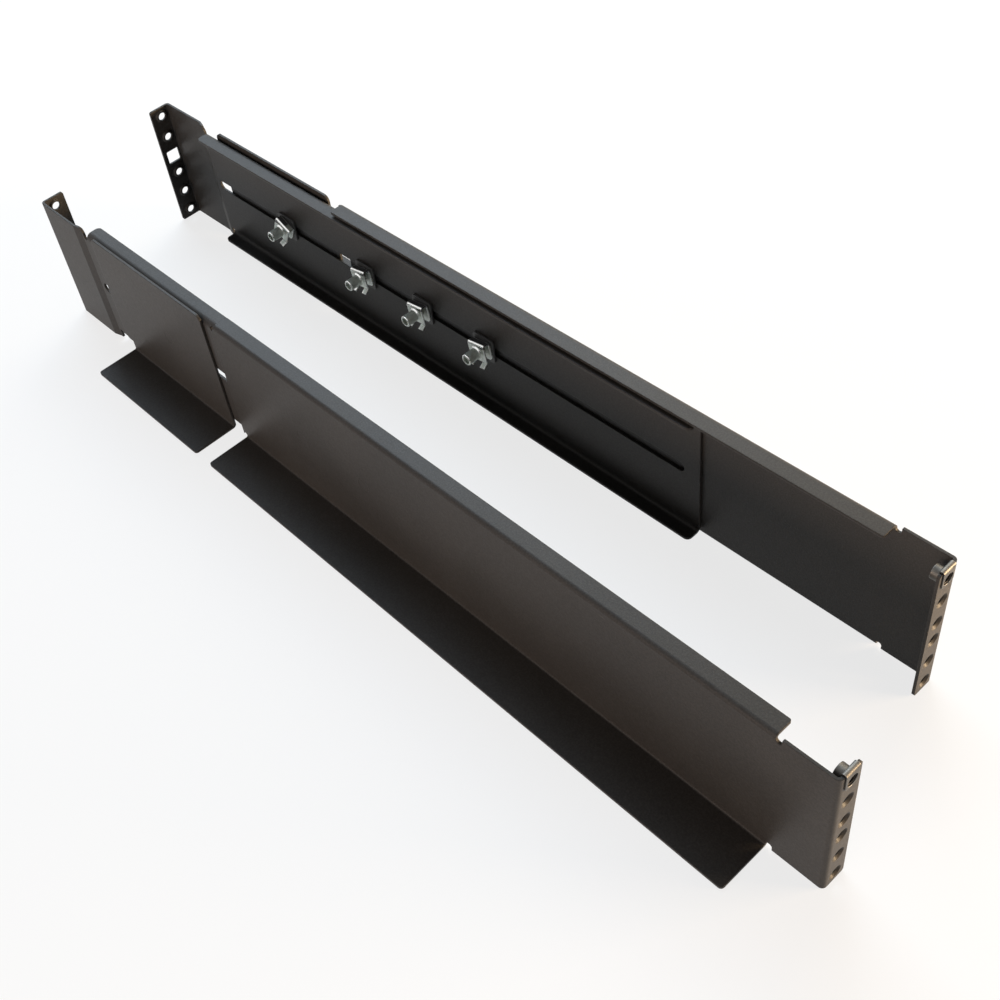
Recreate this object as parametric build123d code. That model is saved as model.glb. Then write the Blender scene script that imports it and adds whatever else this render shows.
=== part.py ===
from build123d import *
import os

# A pair of two-unit telescopic rack rails in folded sheet steel, mirror images of each other.
# Millimetres, +Z up. The ends that meet the front posts of the rack look along -Y.
# One rail is drawn with its shelf towards -X and its ears and nuts towards +X, then placed or mirrored.

# Hole pattern of a nineteen inch rack
RACK_UNIT = 44.45
RACK_UNITS = 2
HOLE_PITCH = 15.875
EAR_PLAY = 0.8
MOUNTING_HOLE_RADIUS = 2.7
SQUARE_HOLE = 9.5
SQUARE_HOLE_CORNER = 0.8
SQUARE_HOLE_INDEX = 3

# Sheet steel and how it is folded
SHEET = 1.5
BEND_RADIUS = 1.0
SLIDE_GAP = 0.15
RELIEF_WIDTH = 3.2
RELIEF_DEPTH = 3.8
EAR_CORNER = 1.5
FLANGE_CORNER = 1.2
SHELF_CORNER = 2.0

# Pressed countersinks round the mounting holes
DIMPLE_RADIUS = 3.9
DIMPLE_DEPTH = 1.2
DIMPLE_WALL = 0.9
DIMPLE_EDGE = 0.4

# Front rail: web, front ear, narrow top flange and wide bottom shelf
RAIL_LENGTH = 415.0
FRONT_EAR_WIDTH = 13.8
FRONT_HOLE_LINE = 7.4
FOLD_START = 29.8
TOP_FLANGE_WIDTH = 10.2
SHELF_WIDTH = 29.2

# Rear bracket: rear ear, flat plate, joggle and slotted channel, nested on the rail's outer face
CLOSED_LENGTH = 601.5
BRACKET_LENGTH = 465.5
REAR_EAR_WIDTH = 15.6
REAR_HOLE_LINE = 8.0
PLATE_LENGTH = 39.5
JOGGLE_LENGTH = 6.0
CHANNEL_SETBACK = 1.5
PLATE_CORNER = 5.0
CHANNEL_RISE = 2.5
CHANNEL_DROP = 3.2
CHANNEL_WIDTH = 10.2
CHANNEL_BEND = 2.5
CHANNEL_CORNER = 3.0
SLOT_HEIGHT = 6.6
SLOT_FRONT_MARGIN = 10.0
SLOT_BACK_MARGIN = 2.0

# Rear support: short plate with its own piece of shelf, held through the slot
SUPPORT_GAP = 10.5
SUPPORT_BACK_GAP = 13.5
SUPPORT_SHELF_SETBACK = 7.0
SUPPORT_TOP_DROP = 0.7
SUPPORT_TAIL_RISE = 8.0
SUPPORT_CORNER = 4.0
SUPPORT_STUD_OFFSET = 8.0

# Flush-head studs, fixed in the sheet
STUD_RADIUS = 2.5
STUD_FIT = 0.02
STUD_HEAD_RADIUS = 3.9
STUD_HEAD_HEIGHT = 0.9
STUD_REACH = 12.4
STUD_CHAMFER = 0.6
STUD_COUNT = 3
STUD_SPACING = 52.6
STUD_END_MARGIN = 18.1

# Square washers
WASHER_SIZE = 16.0
WASHER_THICKNESS = 1.2
WASHER_CORNER = 1.5
WASHER_PLAY = 0.2
SEAT_GAP = 0.1

# Wing nuts folded from strip: two leaves, a drawn barrel and two turned-out wings
NUT_FIT = 0.05
NUT_SHEET = 1.0
NUT_WIDTH = 13.0
NUT_HEIGHT = 12.4
NUT_DEPTH = 5.3
NUT_BEND = 0.7
NUT_CORNER = 2.5
WING_WIDTH = 3.4
WING_REACH = 2.6
WING_FLARE = 1.6
BARREL_RADIUS = 3.5
BARREL_LENGTH = 8.5
BARREL_ROOT = 0.8
BARREL_CHAMFER = 0.4

# Spring clip nut over the top edge of each front ear
CLIP_SHEET = 0.6
CLIP_GAP = 0.1
CLIP_TOP_GAP = 0.5
CLIP_WIDTH = 8.4
CLIP_FRONT_LEAF = 9.8
CLIP_BACK_LEAF = 12.5
CLIP_CORNER = 1.5
CLIP_FOLD_SHARE = 0.45
CLIP_HOLE_PLAY = 0.6
CLIP_BARREL_RADIUS = 3.8
CLIP_BARREL_LENGTH = 4.2
CLIP_THREAD_RADIUS = 2.1

# How the two rails stand side by side, and how far each wing nut is turned, from the back nut forward
PAIR_SPACING = 119.4
PAIR_STAGGER = 28.8
NUT_TURNS = {"right": (14, -6, 3, -9), "left": (26, -11, -9, -10)}

# Places that follow from the sizes above
EAR_HEIGHT = RACK_UNITS * RACK_UNIT - EAR_PLAY
MID_HEIGHT = EAR_HEIGHT / 2
MID = SHEET / 2
FOLD_END = RAIL_LENGTH - RELIEF_WIDTH
CHANNEL_FACE = SHEET + SLIDE_GAP
CHANNEL_OUTSIDE = CHANNEL_FACE + SHEET
CHANNEL_EDGE = CHANNEL_FACE + CHANNEL_WIDTH
CHANNEL_FRONT = CLOSED_LENGTH - BRACKET_LENGTH
JOGGLE_BACK = CLOSED_LENGTH - PLATE_LENGTH
JOGGLE_FRONT = JOGGLE_BACK - JOGGLE_LENGTH
CHANNEL_BACK = JOGGLE_FRONT - CHANNEL_SETBACK
CHANNEL_NECK = CHANNEL_BEND + SHEET + SLIDE_GAP
SLOT_FRONT = CHANNEL_FRONT + SLOT_FRONT_MARGIN
SLOT_BACK = CHANNEL_BACK - SLOT_BACK_MARGIN
SUPPORT_FRONT = RAIL_LENGTH + SUPPORT_GAP
SUPPORT_BACK = JOGGLE_FRONT - SUPPORT_BACK_GAP
SUPPORT_TOP = EAR_HEIGHT - SUPPORT_TOP_DROP
SUPPORT_STUD = (SUPPORT_FRONT + SUPPORT_BACK) / 2 - SUPPORT_STUD_OFFSET
RAIL_STUDS = [RAIL_LENGTH - STUD_END_MARGIN - n * STUD_SPACING for n in range(STUD_COUNT)]
WASHER_FACE = CHANNEL_OUTSIDE + SEAT_GAP
NUT_FACE = WASHER_FACE + WASHER_THICKNESS + SEAT_GAP
STUD_END = CHANNEL_OUTSIDE + STUD_REACH
CLIP_PROUD = CLIP_GAP + CLIP_SHEET
LOW = (Align.CENTER, Align.CENTER, Align.MIN)


def block(x, y, z):
    """Box between pairs of coordinates."""
    size = [high - low for low, high in (x, y, z)]
    middle = [(low + high) / 2 for low, high in (x, y, z)]
    return Pos(*middle) * Box(*size)


def rod(x, y, z, radius):
    """Round bar along X, between the two values of x."""
    return Pos(x[0], y, z) * Rot(0, 90, 0) * Cylinder(radius, x[1] - x[0], align=LOW)


def sheet_section(*points, bend=BEND_RADIUS):
    """Bent sheet of even thickness, drawn along its middle line."""
    return trace(FilletPolyline(*points, radius=bend + MID), line_width=SHEET)


def run_up(section, height):
    """Plan section extruded upwards from the ground."""
    return extrude(section, amount=height)


def run_back(section, start, end):
    """Cross-section in X and Z extruded from start to end along Y."""
    return Pos(0, start, 0) * extrude(Plane.XZ * section, amount=start - end)


def round_corners(solid, axis, radius, *places):
    """Round the edge that runs along the axis nearest to each place."""
    edges = solid.edges().filter_by(axis)
    picked = [edges.sort_by_distance(place)[0] for place in places]
    return fillet(picked, radius)


def hole_heights():
    """Heights of the mounting holes, from the lowest up."""
    units = [MID_HEIGHT + (n - (RACK_UNITS - 1) / 2) * RACK_UNIT for n in range(RACK_UNITS)]
    return [unit + step * HOLE_PITCH for unit in units for step in (-1, 0, 1)]


def relief(x, y, edge, inward):
    """Round-ended notch at the end of a fold, from an edge of the web inwards."""
    radius = RELIEF_WIDTH / 2
    centre = edge + inward * (RELIEF_DEPTH - radius)
    ends = sorted((edge - inward * SHEET, centre))
    slot = block(x, (y - radius, y + radius), ends)
    return slot + rod(x, y, centre, radius)


def press_dimple(ear, x, y, z, inward):
    """Press a countersink into an ear whose outer face is at y, inward being +1 or -1 along Y."""
    place = Pos(x, y, z) * Rot(-90 * inward, 0, 0)
    rim = DIMPLE_RADIUS + DIMPLE_EDGE
    crown = MOUNTING_HOLE_RADIUS + DIMPLE_WALL
    boss = Pos(0, 0, MID) * Cylinder(rim, MID, align=LOW)
    boss += Pos(0, 0, SHEET) * Cone(rim, crown, DIMPLE_DEPTH, align=LOW)
    recess = Cone(DIMPLE_RADIUS, MOUNTING_HOLE_RADIUS, DIMPLE_DEPTH, align=LOW)
    bore = Cylinder(MOUNTING_HOLE_RADIUS, SHEET + DIMPLE_DEPTH, align=LOW)
    return ear + place * boss - place * recess - place * bore


def stud_seat(y):
    """Hole for the shank and sunk seat for the flush head of one stud."""
    shank = rod((-SHEET, 2 * SHEET), y, MID_HEIGHT, STUD_RADIUS + STUD_FIT)
    head = rod((-SHEET, STUD_HEAD_HEIGHT + STUD_FIT), y, MID_HEIGHT, STUD_HEAD_RADIUS + STUD_FIT)
    return shank + head


def front_rail():
    """Web with the front ear, top flange and shelf folded from one sheet."""
    ear = run_up(sheet_section((FRONT_EAR_WIDTH, MID), (MID, MID), (MID, FOLD_START)), EAR_HEIGHT)
    ear = round_corners(ear, Axis.Y, EAR_CORNER, (FRONT_EAR_WIDTH, 0, 0), (FRONT_EAR_WIDTH, 0, EAR_HEIGHT))
    section = sheet_section((-SHELF_WIDTH, MID), (MID, MID), (MID, EAR_HEIGHT - MID),
                            (TOP_FLANGE_WIDTH, EAR_HEIGHT - MID))
    folds = run_back(section, FOLD_START, FOLD_END)
    shelf_ends = [(-SHELF_WIDTH, y, 0) for y in (FOLD_START, FOLD_END)]
    flange_ends = [(TOP_FLANGE_WIDTH, y, EAR_HEIGHT) for y in (FOLD_START, FOLD_END)]
    folds = round_corners(folds, Axis.Z, SHELF_CORNER, *shelf_ends)
    folds = round_corners(folds, Axis.Z, FLANGE_CORNER, *flange_ends)
    tail = block((0, SHEET), (FOLD_END, RAIL_LENGTH), (0, EAR_HEIGHT))
    rail = ear + folds + tail
    for y in (FOLD_START - RELIEF_WIDTH / 2, FOLD_END + RELIEF_WIDTH / 2):
        rail -= relief((-SHEET, 2 * SHEET), y, 0, 1)
        rail -= relief((-SHEET, 2 * SHEET), y, EAR_HEIGHT, -1)
    *dimpled, plain = hole_heights()
    for z in dimpled:
        rail = press_dimple(rail, FRONT_HOLE_LINE, 0, z, 1)
    rail -= Pos(FRONT_HOLE_LINE, 0, plain) * Rot(-90, 0, 0) * Cylinder(MOUNTING_HOLE_RADIUS, 3 * SHEET)
    for y in RAIL_STUDS:
        rail -= stud_seat(y)
    return rail


def rear_bracket():
    """Rear ear and plate, stepped outwards into a slotted channel that slides on the front rail."""
    back = CLOSED_LENGTH - MID
    web = CHANNEL_FACE + MID
    plan = sheet_section((REAR_EAR_WIDTH, back), (MID, back), (MID, JOGGLE_BACK), (web, JOGGLE_FRONT),
                         (web, CHANNEL_BACK))
    plate = run_up(plan, EAR_HEIGHT)
    plate = round_corners(plate, Axis.Y, EAR_CORNER, (REAR_EAR_WIDTH, CLOSED_LENGTH, 0),
                          (REAR_EAR_WIDTH, CLOSED_LENGTH, EAR_HEIGHT))
    plate -= plate_corner()
    low, high = CHANNEL_RISE + MID, EAR_HEIGHT - CHANNEL_DROP - MID
    points = [(CHANNEL_EDGE, low), (web, low), (web, high), (CHANNEL_EDGE, high)]
    section = sheet_section(*points, bend=CHANNEL_BEND)
    flange_back = CHANNEL_BACK - RELIEF_WIDTH
    channel = run_back(section, CHANNEL_FRONT, flange_back)
    tips = [(CHANNEL_EDGE, y, z) for y in (CHANNEL_FRONT, flange_back) for z in (low, high)]
    channel = round_corners(channel, Axis.Z, CHANNEL_CORNER, *tips)
    neck = block((CHANNEL_FACE, CHANNEL_OUTSIDE), (flange_back, CHANNEL_BACK),
                 (CHANNEL_RISE + CHANNEL_NECK, EAR_HEIGHT - CHANNEL_DROP - CHANNEL_NECK))
    bracket = plate + channel + neck
    bracket -= long_slot()
    heights = hole_heights()
    for z in heights:
        if z != heights[SQUARE_HOLE_INDEX]:
            bracket = press_dimple(bracket, REAR_HOLE_LINE, CLOSED_LENGTH, z, -1)
    return bracket - square_hole(heights[SQUARE_HOLE_INDEX])


def plate_corner():
    """What the rounded top corner takes off the plate, where it steps down to the channel."""
    y, z = CHANNEL_BACK + PLATE_CORNER, EAR_HEIGHT - PLATE_CORNER
    corner = block((-SHEET, CHANNEL_EDGE), (y - 2 * PLATE_CORNER, y), (z, z + 2 * PLATE_CORNER))
    return corner - rod((-2 * SHEET, 2 * CHANNEL_EDGE), y, z, PLATE_CORNER)


def long_slot():
    """The straight slot at mid height that the studs run in."""
    outline = Plane.YZ * SlotOverall(SLOT_BACK - SLOT_FRONT, SLOT_HEIGHT)
    return Pos(0, (SLOT_FRONT + SLOT_BACK) / 2, MID_HEIGHT) * extrude(outline, amount=CHANNEL_EDGE)


def square_hole(z):
    """Square hole for a caged nut in the rear ear."""
    outline = Plane.XZ * RectangleRounded(SQUARE_HOLE, SQUARE_HOLE, SQUARE_HOLE_CORNER)
    return Pos(REAR_HOLE_LINE, CLOSED_LENGTH, z) * extrude(outline, amount=2 * SHEET)


def rear_support():
    """Short plate in line with the web, with its own piece of shelf."""
    section = sheet_section((-SHELF_WIDTH, MID), (MID, MID), (MID, SUPPORT_TOP))
    shelf_back = SUPPORT_BACK - SUPPORT_SHELF_SETBACK
    support = run_back(section, SUPPORT_FRONT, shelf_back)
    tail = block((0, SHEET), (shelf_back, SUPPORT_BACK), (SUPPORT_TAIL_RISE, SUPPORT_TOP))
    support += tail
    support = round_corners(support, Axis.Z, SHELF_CORNER, (-SHELF_WIDTH, SUPPORT_FRONT, 0),
                            (-SHELF_WIDTH, shelf_back, 0))
    support = round_corners(support, Axis.X, SUPPORT_CORNER, (0, SUPPORT_FRONT, SUPPORT_TOP),
                            (0, SUPPORT_BACK, SUPPORT_TOP), (0, SUPPORT_BACK, SUPPORT_TAIL_RISE))
    return support - stud_seat(SUPPORT_STUD)


def stud(y):
    """Stud with a thin head flush with the inner face of the sheet."""
    head = rod((0, STUD_HEAD_HEIGHT), y, MID_HEIGHT, STUD_HEAD_RADIUS)
    shank = rod((0, STUD_END), y, MID_HEIGHT, STUD_RADIUS)
    shank = chamfer(shank.edges().sort_by(Axis.X)[-1], STUD_CHAMFER)
    return head + shank


def washer(y):
    """Square washer that bridges the slot."""
    outline = Plane.YZ * RectangleRounded(WASHER_SIZE, WASHER_SIZE, WASHER_CORNER)
    plate = Pos(WASHER_FACE, y, MID_HEIGHT) * extrude(outline, amount=WASHER_THICKNESS)
    return plate - rod((0, STUD_END), y, MID_HEIGHT, STUD_RADIUS + WASHER_PLAY)


def wing_nut(y, turn):
    """Nut folded from strip: back leaf, top fold, and front leaf with a drawn barrel and two wings."""
    across = Plane(origin=(0, 0, 0), x_dir=(0, 0, 1), z_dir=(0, 1, 0))
    middle = NUT_SHEET / 2
    half, front = NUT_HEIGHT / 2, NUT_DEPTH - middle
    tip = (-half - WING_FLARE, NUT_DEPTH + WING_REACH)
    points = [(-half, middle), (half - middle, middle), (half - middle, front), (-half + middle, front), tip]
    strip = trace(FilletPolyline(*points, radius=NUT_BEND + middle), line_width=NUT_SHEET)
    nut = extrude(across * strip, amount=NUT_WIDTH / 2, both=True)
    nut = round_corners(nut, Axis.X, NUT_CORNER, *[(0, side * NUT_WIDTH / 2, -half) for side in (-1, 1)])
    apart = NUT_WIDTH / 2 - WING_WIDTH
    nut -= block((NUT_DEPTH / 2, 2 * NUT_DEPTH), (-apart, apart), (-NUT_HEIGHT, -half + NUT_SHEET))
    nut += nut_barrel()
    nut -= rod((-NUT_SHEET, NUT_DEPTH + 2 * BARREL_LENGTH), 0, 0, STUD_RADIUS + NUT_FIT)
    return Pos(NUT_FACE, y, MID_HEIGHT) * Rot(turn, 0, 0) * nut


def nut_barrel():
    """Barrel drawn out of the front leaf, wider at its root."""
    barrel = rod((NUT_DEPTH - NUT_SHEET, NUT_DEPTH + BARREL_LENGTH), 0, 0, BARREL_RADIUS)
    barrel = chamfer(barrel.edges().sort_by(Axis.X)[-1], BARREL_CHAMFER)
    root = Cone(BARREL_RADIUS + BARREL_ROOT, BARREL_RADIUS, BARREL_ROOT, align=LOW)
    return barrel + Pos(NUT_DEPTH, 0, 0) * Rot(0, 90, 0) * root


def clip_nut():
    """Spring clip with a drawn thread, pushed over the top edge of the front ear."""
    front = -CLIP_GAP - CLIP_SHEET / 2
    back = SHEET + CLIP_GAP + CLIP_SHEET / 2
    top = EAR_HEIGHT + CLIP_TOP_GAP + CLIP_SHEET / 2
    low_front, low_back = EAR_HEIGHT - CLIP_FRONT_LEAF, EAR_HEIGHT - CLIP_BACK_LEAF
    fold = (back - front) * CLIP_FOLD_SHARE
    line = FilletPolyline((front, low_front), (front, top), (back, top), (back, low_back), radius=fold)
    clip = extrude(Plane.YZ * trace(line, line_width=CLIP_SHEET), amount=CLIP_WIDTH / 2, both=True)
    ends = ((front, low_front), (back, low_back))
    corners = [(side * CLIP_WIDTH / 2, y, z) for side in (-1, 1) for y, z in ends]
    clip = round_corners(clip, Axis.Y, CLIP_CORNER, *corners)
    hole = hole_heights()[-1]
    through = Pos(0, 0, hole) * Rot(-90, 0, 0)
    clip += through * Pos(0, 0, back) * Cylinder(CLIP_BARREL_RADIUS, CLIP_BARREL_LENGTH, align=LOW)
    clip -= through * Cylinder(MOUNTING_HOLE_RADIUS + CLIP_HOLE_PLAY, 2 * SHEET)
    clip -= through * Cylinder(CLIP_THREAD_RADIUS, 2 * (back + CLIP_BARREL_LENGTH + SHEET))
    return Pos(FRONT_HOLE_LINE, 0, 0) * clip


def rail_pieces(turns):
    """Every piece of one rail, by name, in the rail's own frame."""
    places = [SUPPORT_STUD, *RAIL_STUDS]
    pieces = {
        "front_rail": front_rail(),
        "rear_bracket": rear_bracket(),
        "rear_support": rear_support(),
        "rail_studs": Compound(children=[stud(y) for y in RAIL_STUDS]),
        "support_stud": stud(SUPPORT_STUD),
        "rail_washers": Compound(children=[washer(y) for y in RAIL_STUDS]),
        "support_washer": washer(SUPPORT_STUD),
        "clip_nut": clip_nut(),
    }
    for number, (y, turn) in enumerate(zip(places, turns), start=1):
        pieces[f"wing_nut_{number}"] = wing_nut(y, turn)
    return pieces


def place(piece, hand):
    """Stand a piece on its side of the pair, centred on the origin."""
    start = (CLIP_PROUD - CLOSED_LENGTH - PAIR_STAGGER) / 2
    if hand == "right":
        return Pos(-PAIR_SPACING / 2, start, 0) * piece
    return Pos(PAIR_SPACING / 2, start + PAIR_STAGGER, 0) * mirror(piece, Plane.YZ)


os.makedirs("parts", exist_ok=True)
for hand, turns in NUT_TURNS.items():
    for name, piece in rail_pieces(turns).items():
        export_step(place(piece, hand), f"parts/{hand}_{name}.step")
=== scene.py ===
import math

import bpy
from mathutils import Matrix, Vector


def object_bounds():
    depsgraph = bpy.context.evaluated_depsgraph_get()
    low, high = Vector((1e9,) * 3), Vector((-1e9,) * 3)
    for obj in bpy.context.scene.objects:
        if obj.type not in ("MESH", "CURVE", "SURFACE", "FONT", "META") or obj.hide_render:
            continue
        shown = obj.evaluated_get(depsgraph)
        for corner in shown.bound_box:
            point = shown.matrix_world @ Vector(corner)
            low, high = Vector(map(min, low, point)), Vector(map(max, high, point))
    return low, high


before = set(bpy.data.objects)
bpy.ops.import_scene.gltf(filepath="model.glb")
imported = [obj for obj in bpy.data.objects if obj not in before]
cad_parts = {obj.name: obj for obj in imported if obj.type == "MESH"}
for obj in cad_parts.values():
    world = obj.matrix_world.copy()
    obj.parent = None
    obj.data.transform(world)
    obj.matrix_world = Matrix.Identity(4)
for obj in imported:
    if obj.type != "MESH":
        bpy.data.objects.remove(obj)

cad_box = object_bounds()


# Front rails, rear brackets and rear supports.
# Each is folded from 1.5 mm cold-rolled steel sheet, punched and pressed before it is bent, then sprayed
# with a thin black powder coat. The coat has a fine grain, rounds the sheared edges and scuffs in use.
HANDS = ("right", "left")
SHEETS = ("front_rail", "rear_bracket", "rear_support")
PAINT_COLOUR = (0.028, 0.0262, 0.0245)
PAINT_PALE = (0.050, 0.0470, 0.0440)
PAINT_GLOSS = {"IOR": 1.45, "Specular IOR Level": 0.14}
BARE_STEEL = (0.27, 0.26, 0.24)
CLOUD = {"per_metre": 9, "detail": 4.0, "roughness": 0.55}
GRAIN = {"per_metre": 1100, "detail": 2.0, "roughness": 0.6}
SPECK = {"per_metre": 495, "detail": 1.0, "roughness": 0.5}
SCUFF = {"per_metre": 160, "detail": 4.0, "roughness": 0.7, "stretch": (1, 0.35, 1)}
STREAK = {"per_metre": 70, "detail": 5.0, "roughness": 0.65, "stretch": (1, 0.12, 1)}
CLOUD_SHARE, GRAIN_SHARE = 0.45, 0.5
SCUFF_SHARE, STREAK_SHARE = 0.55, 0.25
COAT_ROUND = 0.0006
COAT_STRENGTH, COAT_DEPTH = 0.22, 0.0004
EDGE_SAMPLES = 6


class Wire:
    """An output in a finish's nodes. Arithmetic on it adds Math nodes."""

    def __init__(self, finish, socket):
        self.finish, self.socket = finish, socket

    def maths(self, operation, *terms):
        return self.finish.add("ShaderNodeMath", {"operation": operation}, dict(enumerate(terms)))

    def __add__(self, other):
        return self.maths("ADD", self, other)

    def __mul__(self, other):
        return self.maths("MULTIPLY", self, other)

    def __sub__(self, other):
        return self.maths("SUBTRACT", self, other)

    def __rsub__(self, other):
        return self.maths("SUBTRACT", other, self)

    def __abs__(self):
        return self.maths("ABSOLUTE", self)

    __radd__, __rmul__ = __add__, __mul__

    def least(self, other):
        return self.maths("MINIMUM", self, other)

    def most(self, other):
        return self.maths("MAXIMUM", self, other)

    def between(self, low, high):
        """0 below low and 1 above high, smooth between them."""
        limits = {"Value": self, "From Min": low, "From Max": high}
        return self.finish.add("ShaderNodeMapRange", {"interpolation_type": "SMOOTHSTEP"}, limits)

    def part(self, name):
        """Another output of the same node."""
        return Wire(self.finish, self.socket.node.outputs[name])


class Finish:
    """The nodes of a material, or of the studio's air, while they are laid out."""

    def __init__(self, name, made=None):
        self.made = made or bpy.data.materials.new(name)
        self.made.use_nodes = True
        self.tree = self.made.node_tree
        self.tree.nodes.clear()

    def add(self, kind, settings=None, sockets=None):
        node = self.tree.nodes.new(kind)
        for name, value in (settings or {}).items():
            setattr(node, name, value)
        for name, value in (sockets or {}).items():
            socket = node.inputs[name]
            if isinstance(value, Wire):
                self.tree.links.new(value.socket, socket)
            else:
                socket.default_value = value
        return Wire(self, node.outputs[0]) if node.outputs else None

    def place(self):
        """Where a point is on the object, in metres."""
        return self.add("ShaderNodeTexCoord").part("Object")

    def split(self, vector):
        """The first axis of a vector. Its part("Z") is the third."""
        return self.add("ShaderNodeSeparateXYZ", None, {"Vector": vector})

    def noise(self, per_metre, detail, roughness, stretch=(1, 1, 1)):
        """Cloudy value about 0.5, with so many blotches to the metre."""
        place = self.add("ShaderNodeMapping", None, {"Vector": self.place(), "Scale": stretch})
        sockets = {"Vector": place, "Scale": per_metre, "Detail": detail, "Roughness": roughness}
        return self.add("ShaderNodeTexNoise", None, sockets)

    def blend(self, share, first, second):
        """Colour from first to second as share goes from 0 to 1."""
        sockets = {"Factor": share, 6: first, 7: second}
        wire = self.add("ShaderNodeMix", {"data_type": "RGBA"}, sockets)
        return Wire(self, wire.socket.node.outputs[2])

    def edges(self, radius):
        """Normal rounded over the sheared edges, and how far it leans from the true one."""
        rounded = self.add("ShaderNodeBevel", {"samples": EDGE_SAMPLES}, {"Radius": radius})
        true = self.add("ShaderNodeNewGeometry").part("True Normal")
        facing = self.add("ShaderNodeVectorMath", {"operation": "DOT_PRODUCT"}, {0: rounded, 1: true})
        return rounded, 1 - facing.part("Value")

    def close(self, shader, output="ShaderNodeOutputMaterial"):
        self.add(output, None, {"Surface": shader})
        return self.made


def rgba(colour):
    return (*colour, 1.0)


def paint_layer(finish):
    """Clouds, grain and colour of the sprayed coat."""
    cloud, grain = finish.noise(**CLOUD), finish.noise(**GRAIN)
    pale = cloud.between(0.3, 0.7) * CLOUD_SHARE + grain.between(0.35, 0.7) * GRAIN_SHARE
    return cloud, grain, finish.blend(pale, rgba(PAINT_COLOUR), rgba(PAINT_PALE))


def powder_coat():
    """Grainy black coat over steel, scuffed through along its edges and its slides."""
    coat = Finish("black_powder_coat")
    cloud, grain, colour = paint_layer(coat)
    speck = coat.noise(**SPECK)
    rounded, lean = coat.edges(COAT_ROUND)
    worn = lean.between(0.05, 0.35) * coat.noise(**SCUFF).between(0.56, 0.72) * SCUFF_SHARE
    streak = coat.noise(**STREAK).between(0.73, 0.78) * STREAK_SHARE
    bumps = coat.add("ShaderNodeBump", None, {
        "Strength": COAT_STRENGTH, "Distance": COAT_DEPTH, "Height": grain * 0.6 + speck * 0.4,
        "Normal": rounded})
    shader = coat.add("ShaderNodeBsdfPrincipled", None, {
        "Base Color": coat.blend(worn + streak, colour, rgba(BARE_STEEL)),
        "Roughness": 0.34 + 0.12 * cloud + 0.08 * speck, "Normal": bumps, **PAINT_GLOSS})
    return coat.close(shader)


def dress(finish, *names):
    """Give a finish to the same pieces of both rails."""
    for hand in HANDS:
        for name in names:
            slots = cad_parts[f"{hand}_{name}"].data.materials
            slots.clear()
            slots.append(finish)


dress(powder_coat(), *SHEETS)


# Studs.
# Turned from steel and zinc-plated. Each is pressed into its sheet before painting, so that its head lies
# flush in the inner face and takes the black coat with it, and only the thread keeps its plating.
HEAD_BELOW = 0.05875
HEAD_BLUR = 0.00002
STUD_ZINC = (0.42, 0.43, 0.40)
STUD_SHADE = (0.20, 0.21, 0.19)
STUD_CLOUD = {"per_metre": 500, "detail": 3.0, "roughness": 0.6}
STUD_STRENGTH, STUD_DEPTH = 0.22, 0.0003


def stud_finish():
    """Plated shank and painted head, told apart by how far out from the middle they are."""
    stud = Finish("plated_stud")
    across = abs(stud.split(stud.place()))
    painted = across.between(HEAD_BELOW - HEAD_BLUR, HEAD_BELOW + HEAD_BLUR)
    cloud, grain, coat = paint_layer(stud)
    bright = stud.noise(**STUD_CLOUD).between(0.35, 0.65)
    plate = stud.blend(bright, rgba(STUD_SHADE), rgba(STUD_ZINC))
    bumps = stud.add("ShaderNodeBump", None, {
        "Strength": STUD_STRENGTH, "Distance": STUD_DEPTH, "Height": grain})
    shader = stud.add("ShaderNodeBsdfPrincipled", None, {
        "Base Color": stud.blend(painted, plate, coat), "Metallic": 1 - painted,
        "Roughness": 0.36 + 0.1 * cloud, "Normal": bumps, **PAINT_GLOSS})
    return stud.close(shader)


dress(stud_finish(), "rail_studs", "support_stud")


# Square washers.
# Punched from strip and blackened by dipping, so that they are nearly as dark as the bracket they slide on;
# that dark tone is also painted shade around the nuts. Their edges carry a paler painted highlight.
WASHER_DARK = (0.085, 0.085, 0.084)
WASHER_EDGE_GLINT = (0.11, 0.11, 0.11)
WASHER_ROUGHNESS = 0.48
PLATE_CLOUD = {"per_metre": 240, "detail": 4.0, "roughness": 0.6}
PLATE_PIT = {"per_metre": 2600, "detail": 2.0, "roughness": 0.6}
PLATE_STRENGTH, PLATE_DEPTH = 0.2, 0.0002
PLATE_ROUND = 0.00035


def plated(name, shade, colour, glint, roughness):
    """Plated steel: cloudy and finely pitted, with a painted highlight along its rounded edges."""
    plate = Finish(name)
    cloud, pit = plate.noise(**PLATE_CLOUD), plate.noise(**PLATE_PIT)
    rounded, lean = plate.edges(PLATE_ROUND)
    tone = plate.blend(cloud.between(0.35, 0.7), rgba(shade), rgba(colour))
    bumps = plate.add("ShaderNodeBump", None, {
        "Strength": PLATE_STRENGTH, "Distance": PLATE_DEPTH, "Height": pit, "Normal": rounded})
    shader = plate.add("ShaderNodeBsdfPrincipled", None, {
        # Painted highlight: the glint colour is laid along the rounded edges.
        "Base Color": plate.blend(lean.between(0.02, 0.3), tone, rgba(glint)), "Metallic": 1.0,
        "Roughness": roughness + 0.16 * cloud + 0.08 * pit, "Normal": bumps})
    return plate.close(shader)


# The dark tone is partly painted shade, and the paler edge colour is a painted highlight.
washer = plated("blackened_washer_painted_shade", WASHER_DARK, WASHER_DARK, WASHER_EDGE_GLINT, WASHER_ROUGHNESS)
dress(washer, "rail_washers", "support_washer")


# Wing nuts.
# Folded from strip round a drawn, threaded barrel, then barrel-plated with zinc and passivated to a milky
# grey-green. The bends carry a painted highlight, and the flat of the top fold is painted darker as painted
# shade.
ZINC_COLOUR = (0.80, 0.84, 0.77)
ZINC_DULL = (0.60, 0.64, 0.58)
ZINC_GLINT = (0.93, 0.94, 0.92)
ZINC_ROUND = 0.00045
FOLD_PAINTED_SHADE = (0.085, 0.085, 0.090)
FOLD_ABOVE = 0.0487
FOLD_BLUR = 0.0004


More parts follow.
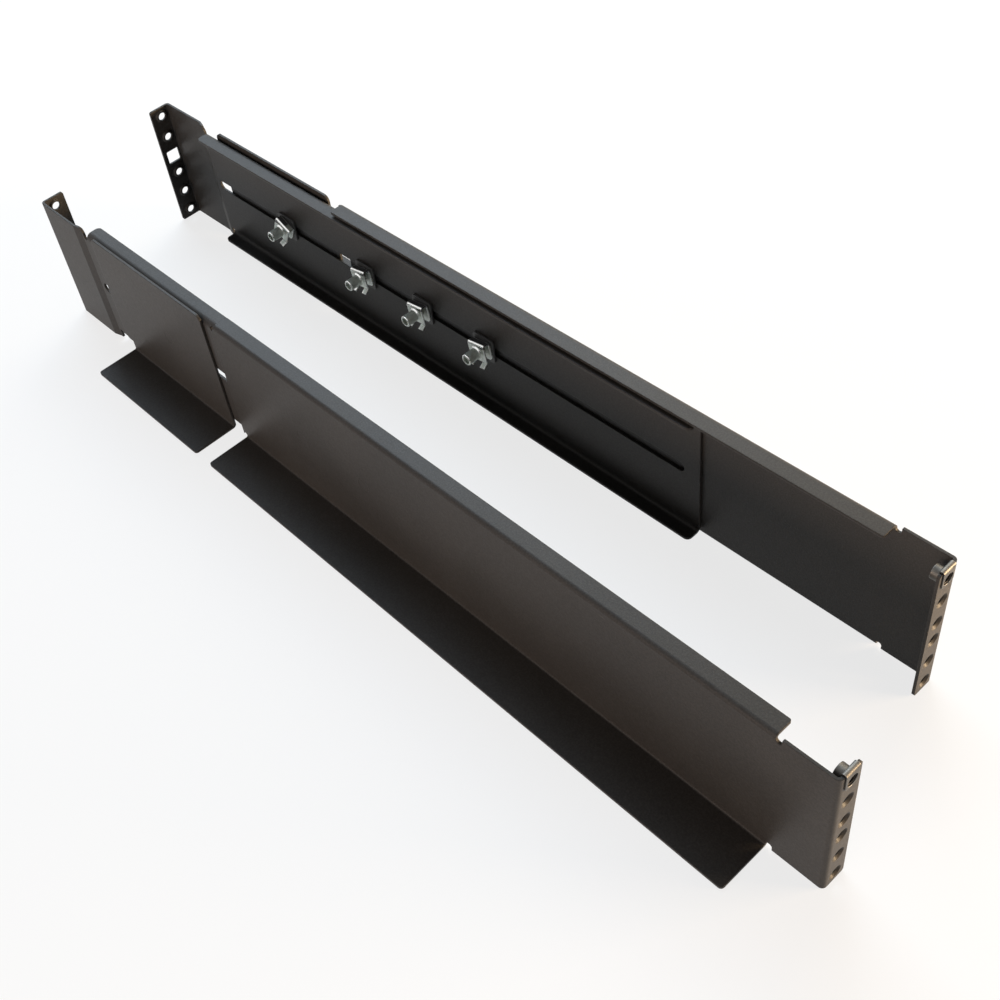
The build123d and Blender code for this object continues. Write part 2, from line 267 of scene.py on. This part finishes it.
def passivated_zinc():
    """Milky on the leaves, wings and barrel, with painted shade on the top fold and a painted highlight
    along the bends and edges.
    """
    zinc = Finish("passivated_zinc")
    height = zinc.split(zinc.place()).part("Z")
    cloud, pit = zinc.noise(**PLATE_CLOUD), zinc.noise(**PLATE_PIT)
    rounded, lean = zinc.edges(ZINC_ROUND)
    facing = zinc.split(zinc.add("ShaderNodeTexCoord").part("Normal"))
    # Painted highlight: a glint line along the bends, picked out by the object-space normal, and along the
    # rounded edges.
    bend = (abs(facing) * facing.part("Z")).between(0.15, 0.35)
    bright = bend.most(lean.between(0.02, 0.22))
    colour = zinc.blend(cloud.between(0.35, 0.7), rgba(ZINC_DULL), rgba(ZINC_COLOUR))
    # Painted shade: the flat of the top fold is coloured darker above FOLD_ABOVE.
    colour = zinc.blend(height.between(FOLD_ABOVE, FOLD_ABOVE + FOLD_BLUR), colour, rgba(FOLD_PAINTED_SHADE))
    bumps = zinc.add("ShaderNodeBump", None, {
        "Strength": PLATE_STRENGTH, "Distance": PLATE_DEPTH, "Height": pit, "Normal": rounded})
    shader = zinc.add("ShaderNodeBsdfPrincipled", None, {
        "Base Color": zinc.blend(bright, colour, rgba(ZINC_GLINT)), "Metallic": 0.3 + 0.65 * bright,
        "Roughness": 0.40 + 0.1 * pit - 0.22 * bright, "Normal": bumps})
    return zinc.close(shader)


dress(passivated_zinc(), "wing_nut_1", "wing_nut_2", "wing_nut_3", "wing_nut_4")


# Clip nuts.
# Spring steel strip, folded over the ear's top edge with its thread drawn in the back leaf, and left with a
# dull phosphate finish; a paler painted highlight is coloured along its edges.
SPRING_DULL = (0.075, 0.071, 0.065)
SPRING_COLOUR = (0.12, 0.115, 0.105)
SPRING_EDGE_GLINT = (0.22, 0.22, 0.22)
SPRING_ROUGHNESS = 0.38
# The paler edge colour is a painted highlight.
spring = plated("phosphated_spring", SPRING_DULL, SPRING_COLOUR, SPRING_EDGE_GLINT, SPRING_ROUGHNESS)
dress(spring, "clip_nut")


# Floor of the studio.
# A pale board that the rails stand on. It shows white to the camera and in gloss, and keeps a soft shadow
# of the rails.
FLOOR_SIZE = 12.0
FLOOR_BELOW = 0.0002
FLOOR_GREY = (0.8, 0.8, 0.8)
FLOOR_GLOW = 0.78
WHITE = (1.0, 1.0, 1.0)


def seen(made):
    """1 for rays from the camera, off gloss and through glass."""
    path = made.add("ShaderNodeLightPath")
    return (path + path.part("Is Glossy Ray") + path.part("Is Transmission Ray")).least(1.0)


room = Finish("studio_floor")
dull = room.add("ShaderNodeBsdfDiffuse", None, {"Color": rgba(FLOOR_GREY)})
glow = room.add("ShaderNodeEmission", None, {"Color": rgba(WHITE), "Strength": 1.0})
board = room.add("ShaderNodeMixShader", None, {0: seen(room) * FLOOR_GLOW, 1: dull, 2: glow})
floor_mesh = bpy.data.meshes.new("studio_floor")
half, level = FLOOR_SIZE / 2, cad_box[0][2] - FLOOR_BELOW
corners = [(x * half, y * half, level) for x, y in ((-1, -1), (1, -1), (1, 1), (-1, 1))]
floor_mesh.from_pydata(corners, [], [(0, 1, 2, 3)])
floor_mesh.materials.append(room.close(board))
floor = bpy.data.objects.new("studio_floor", floor_mesh)
bpy.context.scene.collection.objects.link(floor)


# Studio light.
# A dim room that looks white to the camera and in gloss, and four soft lamps: a warm one ahead of the ears,
# a wide one at the open side, a cool one high behind and a warm one to the right.
ROOM_LEVEL = (0.03, 0.03, 0.03)
MIDDLE = Vector((0.0, 0.0, 0.04))
sky = Finish("studio_air", bpy.data.worlds.new("studio_air"))
bpy.context.scene.world = sky.made
air = sky.blend(seen(sky), rgba(ROOM_LEVEL), rgba(WHITE))
sky.close(sky.add("ShaderNodeBackground", None, {"Color": air}), "ShaderNodeOutputWorld")


def softbox(name, place, size, watts, colour):
    """Rectangular area lamp that faces the middle of the pair and stays out of the picture."""
    lamp = bpy.data.lights.new(name, "AREA")
    lamp.shape = "RECTANGLE"
    lamp.size, lamp.size_y = size
    lamp.energy = watts
    lamp.color = colour
    piece = bpy.data.objects.new(name, lamp)
    piece.location = place
    piece.rotation_euler = (MIDDLE - Vector(place)).to_track_quat("-Z", "Y").to_euler()
    piece.visible_camera = False
    bpy.context.scene.collection.objects.link(piece)


softbox("front", place=(0.7, -0.95, 0.13), size=(0.5, 0.2), watts=40, colour=(1.0, 0.72, 0.44))
softbox("side", place=(-1.9, -0.3, 0.45), size=(1.4, 0.6), watts=26, colour=(1.0, 0.80, 0.68))
softbox("behind", place=(0.85, 1.3, 1.6), size=(1.6, 1.2), watts=58, colour=(0.68, 0.84, 1.0))
softbox("right", place=(1.5, 0.6, 1.3), size=(1.2, 1.2), watts=25, colour=(1.0, 0.82, 0.56))


# Camera.
# Held high at the front left corner of the pair and rolled a little, as in the photograph. The shift sets
# the framing, and nothing is out of focus.
AZIMUTH, ELEVATION, ROLL = math.radians(-32.31), math.radians(46.12), math.radians(-12.422)
EYE = (-0.306756, -0.449643, 0.557239)
SENSOR_WIDTH = 36.0
LENS_PER_WIDTH = 1.357626
SHIFT = (0.10072, -0.02354)
NEAREST, FARTHEST = 0.01, 50.0
eye = bpy.data.cameras.new("camera")
eye.sensor_width = SENSOR_WIDTH
eye.lens = LENS_PER_WIDTH * SENSOR_WIDTH
eye.shift_x, eye.shift_y = SHIFT
eye.clip_start, eye.clip_end = NEAREST, FARTHEST
back = Vector((math.sin(AZIMUTH) * math.cos(ELEVATION), -math.cos(AZIMUTH) * math.cos(ELEVATION),
               math.sin(ELEVATION)))
level_right = Vector((math.cos(AZIMUTH), math.sin(AZIMUTH), 0.0))
level_up = back.cross(level_right)
right = math.cos(ROLL) * level_right + math.sin(ROLL) * level_up
up = math.cos(ROLL) * level_up - math.sin(ROLL) * level_right
camera = bpy.data.objects.new("camera", eye)
camera.matrix_world = Matrix.Translation(EYE) @ Matrix((right, up, back)).transposed().to_4x4()
bpy.context.scene.collection.objects.link(camera)
bpy.context.scene.camera = camera
bpy.context.scene.view_settings.view_transform = "Standard"
